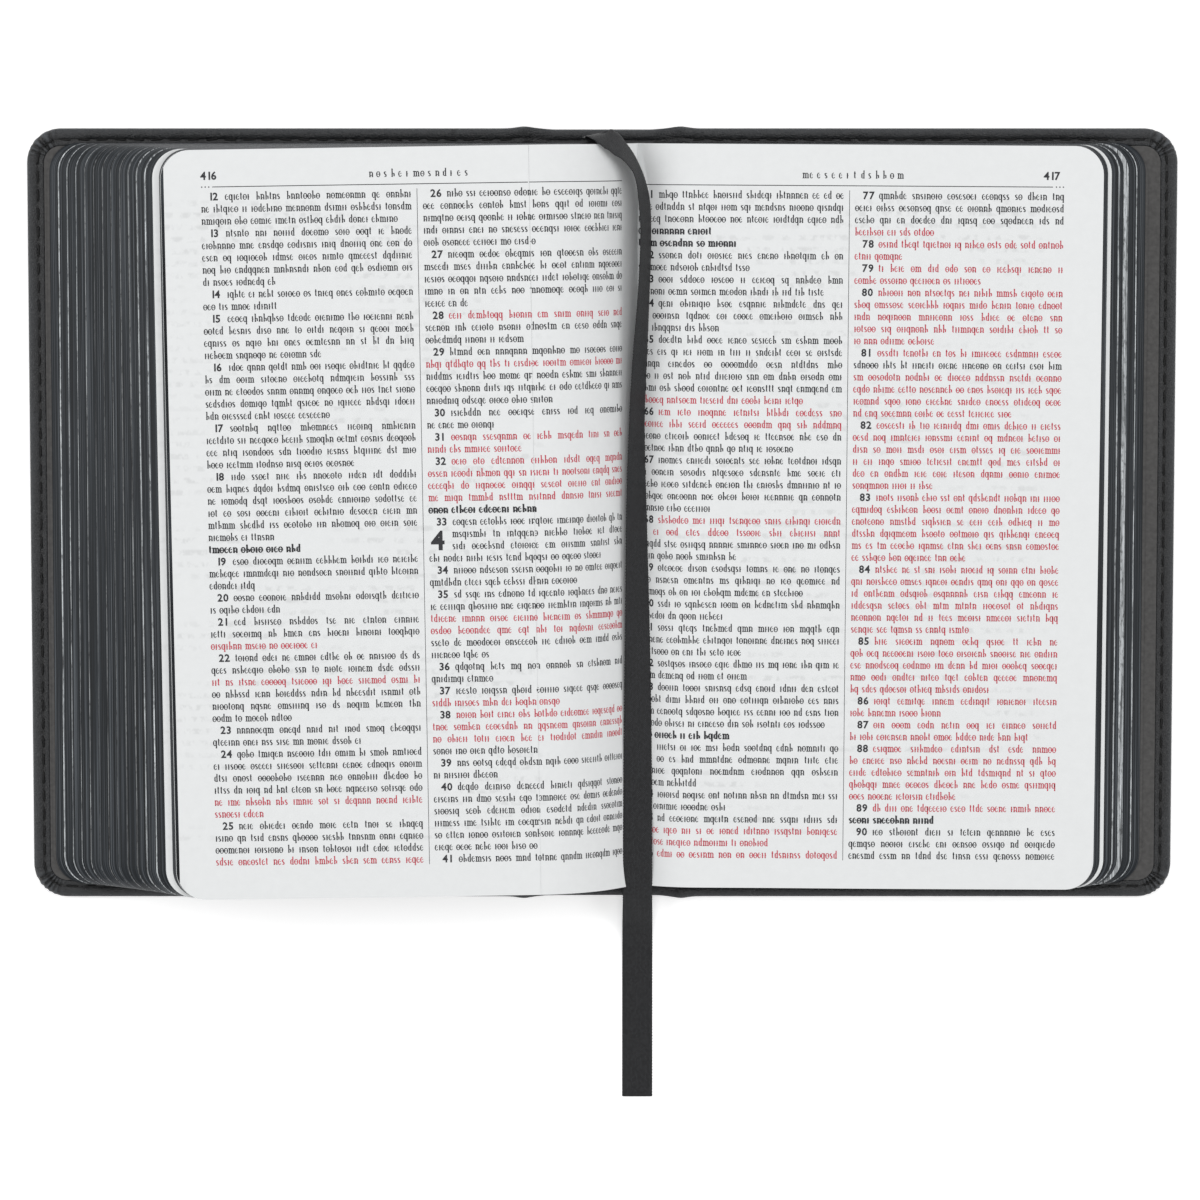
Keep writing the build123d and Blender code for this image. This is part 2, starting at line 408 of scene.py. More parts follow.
def plain_finish(name, color, roughness, grain=600.0, depth=0.00004, spread=0.25):
    """A matte stock with mottled colour and a little tooth."""
    f = Finish(name, color, roughness)
    speck = f.noise(f.coordinates(), grain, 4, 0.6)
    low = tuple((1 - spread) * c for c in color)
    high = tuple((1 + spread) * c for c in color)
    tone = f.ramp(speck, "Fac", (0.3, low), (0.7, high))
    f.color_from(tone, "Color")
    f.bump(speck, "Fac", depth, 0.8)
    return f.material


def ribbon_finish():
    """Charcoal woven ribbon: a twill of short raised threads in staggered diagonal rows."""
    f = Finish("ribbon", (0.032, 0.033, 0.036), 0.62)
    weave = f.coordinates((1, 1, 1), "sheet")
    warp = f.node("ShaderNodeTexBrick", Scale=1.0, offset=0.5, squash=1.0)
    for entry, value in (
        ("Brick Width", 0.52 * MM), ("Row Height", 0.34 * MM), ("Mortar Size", 0.07 * MM),
        ("Mortar Smooth", 0.8), ("Color1", (0.015, 0.0155, 0.017, 1)),
        ("Color2", (0.030, 0.031, 0.034, 1)), ("Mortar", (0.003, 0.003, 0.0035, 1)),
    ):
        warp.inputs[entry].default_value = value
    f.join(weave, "Vector", warp, "Vector")
    f.color_from(warp, "Color")
    f.bump(warp, "Fac", -0.00012, 0.8)
    f.shader.inputs["Specular IOR Level"].default_value = 0.3
    f.shader.inputs["Sheen Weight"].default_value = 0.06
    f.shader.inputs["Sheen Roughness"].default_value = 0.4
    return f.material


def thread_finish():
    """Waxed black thread with a twisted lay."""
    f = Finish("thread", (0.004, 0.004, 0.0045), 0.45)
    f.shader.inputs["Specular IOR Level"].default_value = 0.25
    place = f.coordinates()
    strand = f.noise(place, 2600, 2)
    tone = f.ramp(strand, "Fac", (0.35, 0.002), (0.7, 0.008))
    f.color_from(tone, "Color")
    f.bump(strand, "Fac", 0.00008, 0.9)
    return f.material


def ink_finish(name, color):
    """Printing ink, a little uneven in cover."""
    f = Finish(name, color, 0.6)
    speck = f.noise(f.coordinates(), 3000, 2)
    thin, thick = tuple(0.85 * c for c in color), tuple(1.25 * c for c in color)
    tone = f.ramp(speck, "Fac", (0.3, thin), (0.7, thick))
    f.color_from(tone, "Color")
    return f.material


# ---------------------------------------------------------------- shape of the leaves
class Stack:
    """One side of the open book. Leaves are told apart by their level, their height over the case
    where they lie flat, and run from a root at the gutter, over a crest, to the fore-edge."""

    def __init__(self, side, count, name, crest_reach, tilt):
        self.side, self.count, self.name, self.crest_reach = side, count, name, crest_reach
        boxes = [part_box(f"{name}_gathering_{k + 1:02d}") for k in range(count)]
        self.levels = [(low.z - COVER_TOP, high.z - COVER_TOP) for low, high in boxes]
        self.height = self.levels[-1][1]
        ends = [side * (low.x if side < 0 else high.x) for low, high in boxes]
        self.first_end, self.last_end = ends[0], ends[-1]
        self.tilt = tilt

    def fore_edge(self, level):
        """Distance of the fore-edge from the spine's middle, less for higher leaves."""
        middle_first, middle_last = np.mean(self.levels[0]), np.mean(self.levels[-1])
        share = (level - middle_first) / (middle_last - middle_first)
        return self.first_end + share * (self.last_end - self.first_end)

    def point(self, level, q, y, ledge=0.0):
        """Point of the leaf at this level. q runs 0 to 1 from root to crest and 1 to 2 from crest
        to fore-edge. The fall from the crest is 1 - (1 - u^2)^0.87, u being the share left to it.
        The highest leaves lie a little askew and wave by a third of a millimetre."""
        level, q, y = np.broadcast_arrays(np.asarray(level, float), q, y)
        tau = level / self.height
        root = -BEND + (BEND + GUTTER_X) * tau if self.side < 0 else BEND - (BEND - GUTTER_X) * tau
        crest = self.side * (BEND + self.crest_reach * tau)
        end = self.side * (self.fore_edge(level) - ledge)
        u, v = np.clip(1 - q, 0, 1), np.clip(q - 1, 0, 1)
        x = crest + u * (root - crest) + v * (end - crest)
        fall = 1 - (1 - u * u) ** 0.87
        z = COVER_TOP + level - (level - GUTTER_LIFT * tau**2) * fall
        turn = self.tilt * tau**3 * smooth_step(-u, -1, 0)
        wave = 0.35 * MM * tau**3 * smooth_step(v, 0, 0.5) * np.sin(x * 47 + y * 21)
        return np.stack([x - y * turn, y + (x - crest) * turn * smooth_step(-u, -1, 0), z + wave], -1)

    def half_height(self, level, q, ledge=0.0):
        """Half the leaf's height at q, less where the fore-edge corners are rounded."""
        end = self.fore_edge(level) - ledge
        near = end - np.abs(self.point(level, q, 0.0, ledge)[..., 0])
        inside = np.clip(PAGE_CORNER - near, 0, PAGE_CORNER)
        return HALF_PAGE - PAGE_CORNER + np.sqrt(PAGE_CORNER**2 - inside**2)

    def stations(self, begin, finish):
        """Values of q between two limits, close together on the bend, at the rounded corners and, on
        the loose leaf, just past its crest."""
        bend = np.linspace(0, 1, 30)
        flat = 1 + np.linspace(0, 0.92, 22)
        corner = 2 - 0.08 * (1 - np.sin(np.linspace(0, np.pi / 2, 12)))
        roll = 1 + np.linspace(0, ROLL_SHARE, 90) if begin >= 1 else []
        every = np.unique(np.concatenate([bend, flat, roll, corner, [begin, finish]]))
        return every[(every >= begin) & (every <= finish)]


LEFT = Stack(-1, LEFT_COUNT, "left", 2.7 * MM, 0.0152)
RIGHT = Stack(1, RIGHT_COUNT, "right", 10.2 * MM, -0.0061)
MID_BEND = 0.45  # where a gathering's root half meets its outer half
ROLL_SHARE = 0.32  # share of the loose leaf, from its crest, where its stations lie close together
LEDGE_BEGINS = 1.9  # from here out the top of a gathering may show as a torn ledge
DARK_STRIP_BEGINS = 1.9965  # from here out the loose leaf's top is dark, as stain run onto it and as painted shadow of its edge
PAPER, STAIN, LEDGE = 0, 1, 2  # material slots of a block of leaves
ROWS = np.linspace(-1, 1, 33)  # from tail to head, as shares of half the leaf's height


def leaf_shell(
    name, stack, low, high, begin, finish, ledge, materials,
    lift=None, under=STAIN, over=PAPER, stain_and_shadow_strip=False,
):
    """Closed block of leaves between two levels and two values of q. Its lowest leaf is shorter than
    its highest by the ledge, and lift raises it off the leaves below. Under and over are the slots of
    its lower and upper faces; with the last argument set, the upper one's outer strip takes the
    stained edge's finish, as stain run onto the leaf and as painted shadow of its edge. Its points
    carry their level as an attribute, and its faces a flat map."""
    q = stack.stations(begin, finish)
    sheets = []
    for level, inset in ((low, ledge), (high, 0.0)):
        half = stack.half_height(level, q, inset)
        y = half[:, None] * ROWS[None, :]
        raised = level if lift is None else level + lift(q)[:, None]
        sheets.append(stack.point(raised, q[:, None], y, inset))
    n, m = len(q), len(ROWS)
    points = np.concatenate([s.reshape(-1, 3) for s in sheets])
    size = n * m
    faces = [grid_faces(n, m), grid_faces(n, m, size, flip=True)]
    number = np.arange(size).reshape(n, m)
    for line in (number[:, 0], number[:, -1], number[0], number[-1]):
        faces.append(np.stack([line[:-1], line[1:], line[1:] + size, line[:-1] + size], axis=1))
    slots = np.repeat([under, over, STAIN, STAIN, STAIN, STAIN], [len(f) for f in faces])
    top = slots[len(faces[0]):2 * len(faces[0])]
    # Stain and painted shadow: the top's outer strip takes the dark edge finish, for stain run onto
    # the leaf and for the shadow of its edge.
    if stain_and_shadow_strip:
        top[np.repeat(q[1:] > DARK_STRIP_BEGINS, m - 1)] = STAIN
    if over == LEDGE:
        top[np.repeat(q[1:] < LEDGE_BEGINS, m - 1)] = PAPER
    piece = new_piece(name, points, np.concatenate(faces), materials, slots)
    level = piece.data.attributes.new("leaf_level", "FLOAT", "POINT")
    level.data.foreach_set("value", np.repeat([low, high], size).astype(np.float32))
    map_sheet(piece, stack.side * points[:, 0], points[:, 1])
    merge_points(piece)
    mark_sharp(piece)
    return piece


def map_sheet(piece, u, v):
    """UV map in metres from two distances for each point: on a leaf from the spine's middle and up
    the page, on the ribbon along it and across."""
    layer = piece.data.uv_layers.new(name="sheet")
    index = np.empty(len(piece.data.loops), np.int32)
    piece.data.loops.foreach_get("vertex_index", index)
    layer.data.foreach_set("uv", np.stack([u[index], v[index]], 1).astype(np.float32).ravel())


def mark_sharp(piece, angle=40):
    """Keeps edges crisp where two smooth faces meet at more than this angle."""
    piece.data.set_sharp_from_angle(angle=math.radians(angle))


def bend_with(piece, stack, number, half):
    """Works out between which bodies and points a block of leaves would flex, its root half between
    the spine and its bend, its outer half between its bend and its flat part, and bakes its placement
    into its points; nothing makes it flex. The lowest gatherings have no bend that moves by itself."""
    level = stack.levels[number - 1][1]
    bend, flat = f"{stack.name}_bend_{number:02d}", f"{stack.name}_gathering_{number:02d}"
    near_end = 0.95 if stack.side < 0 else 0.8  # the value of q from which the flat part is stiff
    if bend not in frame["bodies"]:
        first, last, a, b = 0.0, near_end, "spine", flat
    elif half == "root":
        first, last, a, b = 0.0, 0.42, "spine", bend
    else:
        first, last, a, b = 0.5, near_end, bend, flat
    start, end = (stack.point(level, q, 0.0) for q in (first, last))
    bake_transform(piece)


def build_gatherings(stack, paper, edge, deckle):
    """Every gathering of one stack, each as a root half and an outer half. The highest one, and on
    the right the third, show a wider ledge than the others."""
    ledges = rng.choice([0.08, 0.16, 0.2, 0.28], stack.count) * MM
    ledges[stack.count - 1] = 1.7 * MM
    if stack.side > 0:
        ledges[2] = 1.2 * MM
        ledges[stack.count - 1] = 0.9 * MM
    for number in range(1, stack.count + 1):
        low, high = stack.levels[number - 1]
        tag = f"{stack.name}_gathering_{number:02d}"
        over = PAPER if number >= stack.count - 1 else LEDGE
        for half, begin, finish in (("root", 0.0, MID_BEND), ("outer", MID_BEND, 2.0)):
            block = leaf_shell(
                f"{tag}_{half}_leaves", stack, low, high, begin, finish, ledges[number - 1],
                [paper, edge, deckle], over=over,
            )
            bend_with(block, stack, number, half)
            if half == "root":
                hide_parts(f"{stack.name}_page_roots")
            else:
                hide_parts(f"{stack.name}_bend_{number:02d}", tag)


LEAF_THICK = 0.07 * MM
LEAF_GAP = 0.05 * MM


def leaf_lift(q):
    """Height of the loose leaf over the gathering below: none at its crest, full past it."""
    return 0.01 * MM + LEAF_GAP * smooth_step(q, 1.0, 1.2)


def bind_leaf(piece):
    """Bakes the loose leaf's placement into its points; nothing makes it roll over as it turns."""
    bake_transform(piece)


def build_turning_leaf(paper, edge):
    """The loose leaf on top of the left stack."""
    top = LEFT.height
    # The outer strip of its top is dark, as stain and as painted shadow of its edge.
    leaf = leaf_shell(
        "turning_leaf_sheet", LEFT, top, top + LEAF_THICK, 1.0, 2.0, 0.0, [paper, edge],
        lift=leaf_lift, under=PAPER, stain_and_shadow_strip=True,
    )
    bind_leaf(leaf)
    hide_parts("turning_leaf")


# ---------------------------------------------------------------- print
OUTER_MARGIN = 10.2 * MM
COLUMN = 54.4 * MM
COLUMN_GAP = 2.9 * MM
LINE_PITCH = 3.152 * MM
LINES = 56
X_HEIGHT = 1.42 * MM
STEM = 0.3 * MM
HAIR = 0.17 * MM
INK_LIFT = 0.03 * MM

# Meaningless marks that give the look of set type. Each stroke is x1, y1, x2, y2 in shares of the
# mark's width and of the height of a small letter, and its thickness.


def post(x, top=1.0, foot=0.0):
    """Upright with a slab foot and a flag at its head."""
    return [
        (x, foot, x, top, STEM), (x - 0.17, foot + 0.05, x + 0.17, foot + 0.05, HAIR),
        (x - 0.19, top - 0.12, x, top - 0.03, HAIR),
    ]


def shoulder(x1, x2, top=1.0, foot=0.0):
    """Thin shoulder from one upright over to a thicker one."""
    middle = (x1 + x2) / 2
    return [
        (x1, top - 0.25, middle, top - 0.04, HAIR), (middle, top - 0.04, x2, top - 0.22, STEM * 0.8),
        (x2, top - 0.2, x2, foot, STEM), (x2 - 0.15, foot + 0.05, x2 + 0.15, foot + 0.05, HAIR),
    ]


def bowl(x1, x2, top=1.0, foot=0.0, closed=True):
    """Round bowl, thick at its sides; open ones lack most of the right side."""
    cut, rise = (x2 - x1) * 0.3, (top - foot) * 0.27
    strokes = [
        (x1, foot + rise, x1, top - rise, STEM),
        (x1, top - rise, x1 + cut, top - 0.04, STEM * 0.75),
        (x1 + cut, top - 0.04, x2 - cut, top - 0.04, HAIR),
        (x1, foot + rise, x1 + cut, foot + 0.04, STEM * 0.75),
        (x1 + cut, foot + 0.04, x2 - cut, foot + 0.04, HAIR),
        (x2 - cut, foot + 0.04, x2, foot + rise, HAIR),
    ]
    if closed:
        strokes += [
            (x2 - cut, top - 0.04, x2, top - rise, STEM * 0.75),
            (x2, foot + rise, x2, top - rise, STEM),
        ]
    return strokes


MARKS = [
    post(0.45) + [(0.45, 0.5, 0.8, 0.5, HAIR)],
    post(0.25) + shoulder(0.25, 0.78) + [(0.25, 0.3, 0.6, 0.3, HAIR)],
    bowl(0.14, 0.84) + [(0.35, 0.5, 0.6, 0.5, HAIR)],
    bowl(0.16, 0.82, closed=False) + [(0.5, 0.62, 0.84, 0.62, HAIR)],
    post(0.3, 1.48) + [(0.3, 0.62, 0.75, 0.62, HAIR), (0.75, 0.62, 0.75, 0.1, STEM)],
    bowl(0.14, 0.7) + [(0.76, 1.0, 0.76, -0.4, STEM), (0.6, -0.4, 0.92, -0.4, HAIR)],
    post(0.2) + shoulder(0.2, 0.52) + shoulder(0.52, 0.85),
    [(0.74, 0.88, 0.3, 0.94, HAIR), (0.22, 0.9, 0.28, 0.6, STEM), (0.28, 0.6, 0.7, 0.38, STEM),
     (0.72, 0.38, 0.68, 0.08, STEM), (0.68, 0.06, 0.2, 0.08, HAIR)],
    [(0.72, 1.48, 0.72, 0.0, STEM), (0.72, 0.9, 0.3, 0.9, HAIR), (0.25, 0.85, 0.25, 0.15, STEM),
     (0.25, 0.1, 0.9, 0.06, HAIR)],
    [(0.42, 1.28, 0.42, 0.12, STEM), (0.16, 0.94, 0.74, 0.94, HAIR), (0.42, 0.08, 0.72, 0.12, HAIR)],
]
MARK_WIDTH = np.array([0.72, 1.2, 1.1, 0.98, 1.1, 1.14, 1.72, 0.92, 1.14, 0.8]) * MM
MARK_SHARE = np.array([16, 14, 18, 16, 6, 5, 4, 9, 6, 6]) / 100


def set_line(width, bold, local):
    """Marks of one line: words of 2 to 8 marks. Returns places, kinds, word numbers and the width
    used."""
    places, kinds, words, at = [], [], [], 0.0
    for word in range(40):
        marks = local.choice(len(MARKS), local.integers(2, 9), p=MARK_SHARE)
        wide = MARK_WIDTH[marks] * (1.12 if bold else 1.0)
        if at + wide.sum() > width:
            break
        places.extend(at + np.cumsum(wide) - wide)
        kinds.extend(marks)
        words.extend([word] * len(marks))
        at += wide.sum() + 0.8 * MM
    return np.array(places), np.array(kinds, int), np.array(words, float), at - 0.8 * MM


def column_marks(seed, start, first_line, headings, red, numeral):
    """All marks of one column from its line numbers for headings, red passages and a numeral
    two lines deep. Returns rows of place, baseline, kind, colour and weight, and the places of the
    verse numbers."""
    local = np.random.default_rng(seed)
    rows, verses = [], []
    left_in_verse = 0
    for line in range(LINES):
        base = first_line - line * LINE_PITCH - X_HEIGHT / 2
        bold = line in headings
        indent = 0.0
        if bold:
            width = COLUMN * local.uniform(0.35, 0.7)
            left_in_verse = 0
        else:
            if left_in_verse == 0:
                left_in_verse = int(local.integers(2, 7))
                indent = 6.2 * MM
                if line not in (numeral, numeral + 1):
                    verses.append((start + 2.0 * MM, base))
            if line in (numeral, numeral + 1):
                indent = 6.0 * MM
            left_in_verse -= 1
            full = left_in_verse or line + 1 == LINES
            width = COLUMN - indent
            if not full:
                width = min(width, COLUMN * local.uniform(0.3, 0.97))
        places, kinds, words, used = set_line(width, bold, local)
        if not len(places):
            continue
        if not bold and width == COLUMN - indent and words[-1] > 0:
            places = places + words / words[-1] * (width - used)
        colored = any(first <= line <= last for first, last in red) and not bold
        for place, kind in zip(places, kinds):
            rows.append((start + indent + place, base, kind, float(colored), float(bold)))
    return np.array(rows), verses


def page_surface(stack, level, lift_of=None):
    """Mapping from (distance across the page, height) to the leaf at this level. Distance is
    counted left to right, from the outer edge on a left page and from the gutter on a right one."""
    q = np.linspace(0, 2, 1201)
    line = stack.point(level, q, 0.0)
    step = np.linalg.norm(np.diff(line[:, [0, 2]], axis=0), axis=1)
    from_edge = np.concatenate([[0], np.cumsum(step[::-1])])
    q_back = q[::-1]

    def q_at(across):
        distance = across if stack.side < 0 else PAGE_SPAN - across
        return np.interp(distance, from_edge, q_back)

    def place(across, y, lift=INK_LIFT):
        at = q_at(across)
        extra = lift_of(at) if lift_of else 0.0
        here = stack.point(level + extra, at, y)
        ahead = stack.point(level + extra, at + 1e-4, y)
        along = ahead - here
        normal = np.stack([-along[..., 2], np.zeros(at.shape), along[..., 0]], -1) * stack.side
        normal /= np.linalg.norm(normal, axis=-1, keepdims=True)
        return here + normal * lift

    return place, q_at


def stroke_quads(a, b, thickness):
    """Corners of flat strokes from a to b, as an array (n, 4, 2)."""
    along = b - a
    along /= np.maximum(np.linalg.norm(along, axis=1, keepdims=True), 1e-9)
    side = np.stack([-along[:, 1], along[:, 0]], 1) * thickness[:, None] / 2
    return np.stack([a - side, b - side, b + side, a + side], axis=1)


def mark_quads(rows):
    """Quads and colours for rows of marks."""
    quads, colors = [], []
    kinds = rows[:, 2].astype(int)
    for kind, strokes in enumerate(MARKS):
        chosen = rows[kinds == kind]
        if not len(chosen):
            continue
        wide = MARK_WIDTH[kind] * np.where(chosen[:, 4] > 0, 1.12, 1.0)
        for x1, y1, x2, y2, thick in strokes:
            a = np.stack([chosen[:, 0] + x1 * wide, chosen[:, 1] + y1 * X_HEIGHT], 1)
            b = np.stack([chosen[:, 0] + x2 * wide, chosen[:, 1] + y2 * X_HEIGHT], 1)
            weight = thick * np.where(chosen[:, 4] > 0, 1.55, 1.0)
            quads.append(stroke_quads(a, b, weight))
            colors.append(chosen[:, 3])
    return np.concatenate(quads), np.concatenate(colors)


def rule_quads(start, end, thickness, pieces):
    """A thin printed rule, cut into short lengths so that it follows the paper."""
    cuts = np.linspace(start, end, pieces + 1)
    return stroke_quads(cuts[:-1], cuts[1:], np.full(pieces, thickness))


def mesh_of_curve(curve):
    """The mesh that a curve or text makes, once its helper object is gone."""
    holder = bpy.data.objects.new(curve.name, curve)
    bpy.context.scene.collection.objects.link(holder)
    mesh = bpy.data.meshes.new_from_object(
        holder.evaluated_get(bpy.context.evaluated_depsgraph_get())
    )
    bpy.data.objects.remove(holder)
    bpy.data.curves.remove(curve)
    return mesh


def digit_shapes():
    """Outline of each plain numeral as triangles, one unit high, from the built-in sans."""
    cap_height, gap = 0.73, 0.08
    shapes = []
    for number in range(10):
        curve = bpy.data.curves.new("numeral", "FONT")
        curve.body, curve.resolution_u, curve.offset = str(number), 2, 0.028
        mesh = mesh_of_curve(curve)
        mesh.calc_loop_triangles()
        points = np.array([v.co[:2] for v in mesh.vertices]) / cap_height
        triangles = np.array([t.vertices[:] for t in mesh.loop_triangles])
        shapes.append((points, triangles, points[:, 0].max() + gap))
        bpy.data.meshes.remove(mesh)
    return shapes


def numeral_triangles(value, x, y, height, shapes):
    """Triangles of a plain number whose lower left corner is at x, y."""
    out = []
    for char in str(value):
        points, triangles, advance = shapes[int(char)]
        out.append(points[triangles] * height + [x, y])
        x += advance * height
    return np.concatenate(out)


def page_print(side, plan):
    """Everything printed on one page as flat shapes: quads, their colours, and triangles."""
    columns = [OUTER_MARGIN, OUTER_MARGIN + COLUMN + COLUMN_GAP]
    if side > 0:
        outer_column = PAGE_SPAN - OUTER_MARGIN - COLUMN
        columns = [outer_column - COLUMN - COLUMN_GAP, outer_column]
    quads, colors, triangles = [], [], []
    verse, top_line = plan["first_number"], plan["first_line"]
    for index, column in enumerate(plan["columns"]):
        rows, verses = column_marks(plan["seed"] + index, columns[index], top_line, *column)
        marks, tint = mark_quads(rows)
        quads.append(marks)
        colors.append(tint)
        for x, y in verses:
            triangles.append(numeral_triangles(verse, x, y, 2.0 * MM, DIGITS))
            verse += 1
        if column[2] >= 0:
            base = top_line - (column[2] + 1) * LINE_PITCH - X_HEIGHT / 2
            triangles.append(
                numeral_triangles(plan["numeral"], columns[index] + 0.6 * MM, base, 5.0 * MM, DIGITS)
            )
    left, right = columns[0], columns[1] + COLUMN
    head = top_line + 2.7 * MM
    ends = (left + 3.0 * MM, right) if side < 0 else (left, right - 3.0 * MM)
    quads.append(rule_quads((ends[0], head), (ends[1], head), 0.2 * MM, 60))
    divider, foot = columns[0] + COLUMN + COLUMN_GAP / 2, top_line - LINES * LINE_PITCH + 2 * MM
    quads.append(rule_quads((divider, head - 1.2 * MM), (divider, foot), 0.13 * MM, 29))
    outer = left if side < 0 else right
    for dot in range(3):
        x = outer - side * (0.3 + 0.9 * dot) * MM
        centre = np.array([[x - 0.16 * MM, head]])
        quads.append(stroke_quads(centre, centre + [[0.32 * MM, 0]], np.array([0.3 * MM])))
    title_rng = np.random.default_rng(plan["seed"] + 9)
    kinds = title_rng.integers(0, len(MARKS), 15)
    kinds = kinds[kinds != 5]
    spread = np.arange(len(kinds)) * 1.9 * MM
    title = (left + right) / 2 - spread[-1] / 2
    rows = np.array([(title + s, head + 1.9 * MM, k, 0, 0) for s, k in zip(spread, kinds)])
    marks, _ = mark_quads(rows)
    quads.append(marks)
    count = sum(len(part) for part in quads) - sum(len(part) for part in colors)
    colors.append(np.zeros(count))
    number_x = left if side < 0 else right - 5.4 * MM
    triangles.append(numeral_triangles(plan["page"], number_x, head + 1.9 * MM, 2.1 * MM, DIGITS))
    return np.concatenate(quads), np.concatenate(colors), np.concatenate(triangles)


def ink_piece(name, stack, level, printed, begin, finish, lift_of=None, back=False):
    """The printed shapes that lie between two values of q, laid on the leaf at this level, or
    turned over and laid under it."""
    quads, colors, triangles = printed
    if back:
        flip = np.array([-1.0, 1.0])
        quads, triangles = (part * flip + [PAGE_SPAN, 0] for part in (quads, triangles))
    place, q_at = page_surface(stack, level, lift_of)
    quad_q, tri_q = q_at(quads[..., 0].mean(1)), q_at(triangles[..., 0].mean(1))
    pick_quads = (quad_q >= begin) & (quad_q < finish)
    pick_tris = (tri_q >= begin) & (tri_q < finish)
    flat_quads = quads[pick_quads].reshape(-1, 2)
    flat_tris = triangles[pick_tris].reshape(-1, 2)
    flat = np.concatenate([flat_quads, flat_tris])
    points = place(flat[:, 0], flat[:, 1], -INK_LIFT / 2 if back else INK_LIFT)
    faces = np.arange(len(flat_quads)).reshape(-1, 4).tolist()
    faces += (len(flat_quads) + np.arange(len(flat_tris)).reshape(-1, 3)).tolist()
    mesh = bpy.data.meshes.new(name)
    mesh.from_pydata(points.tolist(), [], faces)
    for material in (INK, RED_INK):
        mesh.materials.append(material)
    slots = np.concatenate([colors[pick_quads], np.zeros(pick_tris.sum())]).astype(np.int32)
    mesh.polygons.foreach_set("material_index", slots)
    piece = bpy.data.objects.new(name, mesh)
    bpy.context.scene.collection.objects.link(piece)
    return piece


# For each column: lines with headings, red passages, and the line where a chapter number starts,
# which is below 0 where there is none
LEFT_PLAN = {
    "seed": 21, "page": 416, "first_number": 12, "numeral": 4, "first_line": 85.4 * MM,
    "columns": [
        ({29}, [(37, 37), (40, 40), (50, 51), (55, 55)], -9),
        ({26}, [(10, 10), (14, 14), (20, 25), (35, 36), (42, 45)], 28),
    ],
}
RIGHT_PLAN = {
    "seed": 61, "page": 417, "first_number": 61, "numeral": 5, "first_line": 84.3 * MM,
    "columns": [
        ({3, 4, 45}, [(17, 19), (27, 28), (53, 55)], 46),
        ({52}, [(3, 13), (15, 51)], -9),
    ],
}


def print_pages():
    """The print of both open pages, of the leaf under the loose one and of the loose leaf's back."""
    left = page_print(-1, LEFT_PLAN)
    right = page_print(1, RIGHT_PLAN)
    leaf_top = LEFT.height + LEAF_THICK
    top, right_top = LEFT.height, RIGHT.height
    pieces = [
        (ink_piece("left_root_print", LEFT, top, left, 0, MID_BEND), LEFT, "root"),
        (ink_piece("left_bend_print", LEFT, top, left, MID_BEND, 1.0), LEFT, "outer"),
        (ink_piece("right_root_print", RIGHT, right_top, right, 0, MID_BEND), RIGHT, "root"),
        (ink_piece("right_page_print", RIGHT, right_top, right, MID_BEND, 2.01), RIGHT, "outer"),
        (ink_piece("under_leaf_print", LEFT, top, left, 1.2, 2.01), LEFT, "outer"),
    ]
    for piece, stack, half in pieces:
        bend_with(piece, stack, stack.count, half)
    bind_leaf(ink_piece("left_page_print", LEFT, leaf_top, left, 1.0, 2.01, leaf_lift))
    bind_leaf(ink_piece("leaf_back_print", LEFT, top, right, 1.0, 2.01, leaf_lift, back=True))


# ---------------------------------------------------------------- case
# Section through the leather at the cover's edge, in millimetres: distance in from the edge and
# height. It starts under the cover, wraps the board and ends inside, under the board.
RIM = np.array([
    (9.0, 0.0), (6.0, 0.0), (3.7, 0.0), (3.2, 0.05), (2.9, 0.28), (2.6, 0.05), (1.9, 0.0),
    (1.0, 0.05), (0.42, 0.24), (0.1, 0.68), (0.0, 1.25),
    (0.09, 1.85), (0.36, 2.28), (0.9, 2.57), (1.7, 2.68),
    (2.4, 2.58), (2.7, 2.4), (2.9, 2.3), (3.1, 2.4), (3.5, 2.58), (4.0, 2.6), (4.35, 2.53),
    (4.52, 2.34), (4.5, 2.16), (3.4, 2.14), (1.1, 2.12), (0.62, 1.9), (0.55, 1.25), (0.62, 0.62),
    (1.1, 0.49), (9.0, 0.49),
]) * MM
TOP_FIRST, TOP_LAST = 11, 22  # points of the section that lie on its upper side
SIDE_STEPS, ARC_STEPS = 150, 40  # points along a straight edge and round a corner
SEAM_INSET = 2.9 * MM  # from the cover's edge to its line of stitches
STITCH_PITCH, STITCH_LENGTH, STITCH_RADIUS = 4.8 * MM, 3.7 * MM, 0.27 * MM
SPINE_SHARE, HINGE_SHARE = 0.95, 0.42  # thickness of the case there, as shares of a cover's
TURN_IN_SEAM = 38.7 * MM  # where two turn-ins meet at the front cover's head


def case_outline():
    """Half the case's outline from the middle of the spine at the head, round the fore-edge, to
    the tail: points, inward directions, the angle turned through and a share that is 1 at the
    middle of each corner."""
    run = FORE_EDGE - CORNER
    across = np.linspace(0, run, SIDE_STEPS)
    arc = np.linspace(0, np.pi / 2, ARC_STEPS)[1:-1]
    down = np.linspace(HALF_COVER - CORNER, -HALF_COVER + CORNER, SIDE_STEPS)
    x = np.concatenate([
        across, run + CORNER * np.sin(arc), np.full(SIDE_STEPS, FORE_EDGE),
        run + CORNER * np.cos(arc), across[::-1],
    ])
    y = np.concatenate([
        np.full(SIDE_STEPS, HALF_COVER), HALF_COVER - CORNER + CORNER * np.cos(arc), down,
        -HALF_COVER + CORNER - CORNER * np.sin(arc), np.full(SIDE_STEPS, -HALF_COVER),
    ])
    turn = np.concatenate([
        np.zeros(SIDE_STEPS), arc, np.full(SIDE_STEPS, np.pi / 2), np.pi / 2 + arc,
        np.full(SIDE_STEPS, np.pi),
    ])
    inward = np.stack([-np.sin(turn), -np.cos(turn)], 1)
    corner = np.sin(2 * turn) ** 2
    return np.stack([x, y], 1), inward, turn, corner


